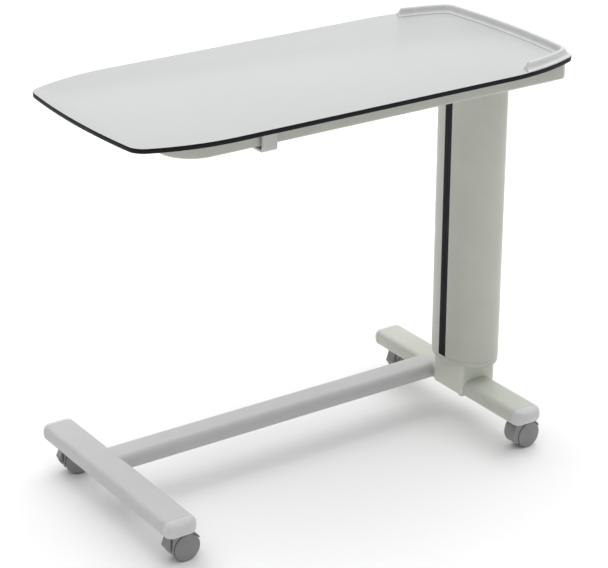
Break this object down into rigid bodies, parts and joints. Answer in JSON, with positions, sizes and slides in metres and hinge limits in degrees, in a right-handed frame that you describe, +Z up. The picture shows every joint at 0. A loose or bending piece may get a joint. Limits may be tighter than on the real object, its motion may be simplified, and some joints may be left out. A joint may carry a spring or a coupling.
{
  "type": "overbed table",
  "caption": "Height-adjustable overbed table: flat rectangular top on a tube frame, side column with gas-spring lift, H-shaped base on castors.",
  "frame": {"origin": "on the floor, under the centre of the tabletop", "axes": "+X along the tabletop towards the column end, +Y across it away from the release lever, +Z up"},
  "size_m": [0.892, 0.452, 0.7391],
  "materials": {
    "laminate": "smooth light grey laminate with a black edge",
    "cream_paint": "satin warm grey powder coat",
    "grey_paint": "satin light grey powder coat",
    "cap_plastic": "fine-grained light grey plastic",
    "rim_plastic": "smooth light grey plastic",
    "castor_plastic": "matt mid grey nylon",
    "black_plastic": "matt black",
    "glide_plastic": "natural white nylon",
    "steel": "zinc plated",
    "spring_black": "black enamel"
  },
  "bodies": {
    "base": {"left_foot_tube": "grey_paint", "right_foot_tube": "cream_paint", "spine_tube": "grey_paint", "left_foot_cap_near": "cap_plastic", "left_foot_cap_far": "cap_plastic", "right_foot_cap_near": "cap_plastic", "right_foot_cap_far": "cap_plastic", "inner_column": "cream_paint", "column_base_plate": "steel", "column_bolt_1": "steel", "column_bolt_2": "steel", "column_upper_glide": "glide_plastic", "gas_spring_cylinder": "spring_black", "gas_spring_gland": "steel", "stem_near_left": "steel", "stem_far_left": "steel", "stem_near_right": "steel", "stem_far_right": "steel"},
    "top": {"tabletop_panel": "laminate", "end_rim": "rim_plastic", "support_frame": "cream_paint", "frame_cap_near": "cap_plastic", "frame_cap_far": "cap_plastic", "head_crossbar_left": "cream_paint", "head_crossbar_right": "cream_paint", "head_plate": "steel", "outer_sleeve": "cream_paint", "slot_strip": "black_plastic", "sleeve_collar": "cream_paint", "gas_spring_rod": "steel", "gas_spring_nut": "steel", "shaft_bearing_left": "black_plastic", "shaft_bearing_right": "black_plastic"},
    "release_lever": {"lever_paddle": "cap_plastic", "torsion_shaft": "steel", "release_finger": "steel"},
    "valve_pin": {"valve_pin": "steel"},
    "castor_near_left": {"hood_near_left": "castor_plastic", "axle_near_left": "steel"},
    "wheel_near_left_inner": {"wheel_near_left_inner": "castor_plastic"},
    "wheel_near_left_outer": {"wheel_near_left_outer": "castor_plastic"},
    "pedal_near_left": {"brake_pedal_near_left": "castor_plastic"},
    "castor_far_left": {"hood_far_left": "castor_plastic", "axle_far_left": "steel"},
    "wheel_far_left_inner": {"wheel_far_left_inner": "castor_plastic"},
    "wheel_far_left_outer": {"wheel_far_left_outer": "castor_plastic"},
    "pedal_far_left": {"brake_pedal_far_left": "castor_plastic"},
    "castor_near_right": {"hood_near_right": "castor_plastic", "axle_near_right": "steel"},
    "wheel_near_right_inner": {"wheel_near_right_inner": "castor_plastic"},
    "wheel_near_right_outer": {"wheel_near_right_outer": "castor_plastic"},
    "castor_far_right": {"hood_far_right": "castor_plastic", "axle_far_right": "steel"},
    "wheel_far_right_inner": {"wheel_far_right_inner": "castor_plastic"},
    "wheel_far_right_outer": {"wheel_far_right_outer": "castor_plastic"},
    "pedal_far_right": {"brake_pedal_far_right": "castor_plastic"}
  },
  "joints": [
    {"name": "height_slide", "type": "slide", "parent": "base", "child": "top", "axis": [0, 0, 1], "range_m": [0, 0.375]},
    {"name": "release_hinge", "type": "hinge", "parent": "top", "child": "release_lever", "pos_m": [0, -0.081, 0.703], "axis": [-1, 0, 0], "range_deg": [0, 2.5], "stiffness_Nm_per_rad": 6, "springref_deg": -8.59},
    {"name": "valve_slide", "type": "slide", "parent": "top", "child": "valve_pin", "axis": [0, 0, -1], "range_m": [0, 0.0028]},
    {"name": "swivel_near_left", "type": "hinge", "parent": "base", "child": "castor_near_left", "pos_m": [-0.3945, -0.185, 0.056], "axis": [0, 0, 1], "continuous": true},
    {"name": "roll_near_left_inner", "type": "hinge", "parent": "castor_near_left", "child": "wheel_near_left_inner", "pos_m": [-0.375, -0.185, 0.025], "axis": [0, 1, 0], "continuous": true},
    {"name": "roll_near_left_outer", "type": "hinge", "parent": "castor_near_left", "child": "wheel_near_left_outer", "pos_m": [-0.375, -0.185, 0.025], "axis": [0, 1, 0], "continuous": true},
    {"name": "brake_near_left", "type": "hinge", "parent": "castor_near_left", "child": "pedal_near_left", "pos_m": [-0.4043, -0.185, 0.0525], "axis": [0, 1, 0], "range_deg": [0, 12]},
    {"name": "swivel_far_left", "type": "hinge", "parent": "base", "child": "castor_far_left", "pos_m": [-0.3945, 0.185, 0.056], "axis": [0, 0, 1], "continuous": true},
    {"name": "roll_far_left_inner", "type": "hinge", "parent": "castor_far_left", "child": "wheel_far_left_inner", "pos_m": [-0.37558, 0.18028, 0.025], "axis": [0.2419, 0.9703, 0], "continuous": true},
    {"name": "roll_far_left_outer", "type": "hinge", "parent": "castor_far_left", "child": "wheel_far_left_outer", "pos_m": [-0.37558, 0.18028, 0.025], "axis": [0.2419, 0.9703, 0], "continuous": true},
    {"name": "brake_far_left", "type": "hinge", "parent": "castor_far_left", "child": "pedal_far_left", "pos_m": [-0.40401, 0.18737, 0.0525], "axis": [0.2419, 0.9703, 0], "range_deg": [0, 12]},
    {"name": "swivel_near_right", "type": "hinge", "parent": "base", "child": "castor_near_right", "pos_m": [0.3315, -0.185, 0.056], "axis": [0, 0, 1], "continuous": true},
    {"name": "roll_near_right_inner", "type": "hinge", "parent": "castor_near_right", "child": "wheel_near_right_inner", "pos_m": [0.35097, -0.18398, 0.025], "axis": [-0.0523, 0.9986, 0], "continuous": true},
    {"name": "roll_near_right_outer", "type": "hinge", "parent": "castor_near_right", "child": "wheel_near_right_outer", "pos_m": [0.35097, -0.18398, 0.025], "axis": [-0.0523, 0.9986, 0], "continuous": true},
    {"name": "swivel_far_right", "type": "hinge", "parent": "base", "child": "castor_far_right", "pos_m": [0.3315, 0.185, 0.056], "axis": [0, 0, 1], "continuous": true},
    {"name": "roll_far_right_inner", "type": "hinge", "parent": "castor_far_right", "child": "wheel_far_right_inner", "pos_m": [0.351, 0.185, 0.025], "axis": [0, 1, 0], "continuous": true},
    {"name": "roll_far_right_outer", "type": "hinge", "parent": "castor_far_right", "child": "wheel_far_right_outer", "pos_m": [0.351, 0.185, 0.025], "axis": [0, 1, 0], "continuous": true},
    {"name": "brake_far_right", "type": "hinge", "parent": "castor_far_right", "child": "pedal_far_right", "pos_m": [0.3217, 0.185, 0.0525], "axis": [0, 1, 0], "range_deg": [0, 12]}
  ],
  "couplings": [
    {"joint": "valve_slide", "follows": "release_hinge", "m_per_rad": 0.058}
  ]
}
